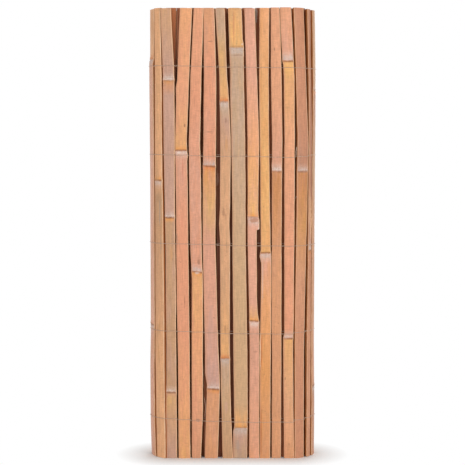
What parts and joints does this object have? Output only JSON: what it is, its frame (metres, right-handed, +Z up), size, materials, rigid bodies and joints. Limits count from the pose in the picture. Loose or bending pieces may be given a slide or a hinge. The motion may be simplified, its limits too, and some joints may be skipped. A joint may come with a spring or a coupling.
{
  "type": "rolled split-bamboo slat fence",
  "caption": "A length of split-bamboo slat fencing bound with rows of thin twisted wire, rolled up flat and standing on its slat ends.",
  "frame": {"origin": "bottom centre of the roll, on the surface it stands on", "axes": "+Z up along the slats, +X to the right across the flat front, -Y out of the front face"},
  "size_m": [0.1872, 0.0503, 0.5],
  "materials": {
    "bamboo": "bare split bamboo, peach to tan, with pale rings",
    "binding_wire": "thin galvanised binding wire"
  },
  "bodies": {
    "root": {"slat_01": "bamboo", "slat_02": "bamboo", "slat_03": "bamboo", "slat_04": "bamboo", "slat_05": "bamboo", "slat_06": "bamboo", "slat_07": "bamboo", "slat_08": "bamboo", "slat_09": "bamboo", "slat_10": "bamboo", "slat_11": "bamboo", "slat_12": "bamboo", "slat_13": "bamboo", "slat_14": "bamboo", "slat_15": "bamboo", "slat_16": "bamboo", "slat_17": "bamboo", "slat_18": "bamboo", "slat_19": "bamboo", "slat_20": "bamboo", "slat_21": "bamboo", "slat_22": "bamboo", "slat_23": "bamboo", "slat_24": "bamboo", "slat_25": "bamboo", "slat_26": "bamboo", "slat_27": "bamboo", "turn_2_slats": "bamboo", "turn_3_slats": "bamboo", "wire_row_1_strand_a": "binding_wire", "wire_row_1_strand_b": "binding_wire", "wire_row_2_strand_a": "binding_wire", "wire_row_2_strand_b": "binding_wire", "wire_row_3_strand_a": "binding_wire", "wire_row_3_strand_b": "binding_wire", "wire_row_4_strand_a": "binding_wire", "wire_row_4_strand_b": "binding_wire", "wire_row_5_strand_a": "binding_wire", "wire_row_5_strand_b": "binding_wire"}
  },
  "joints": []
}
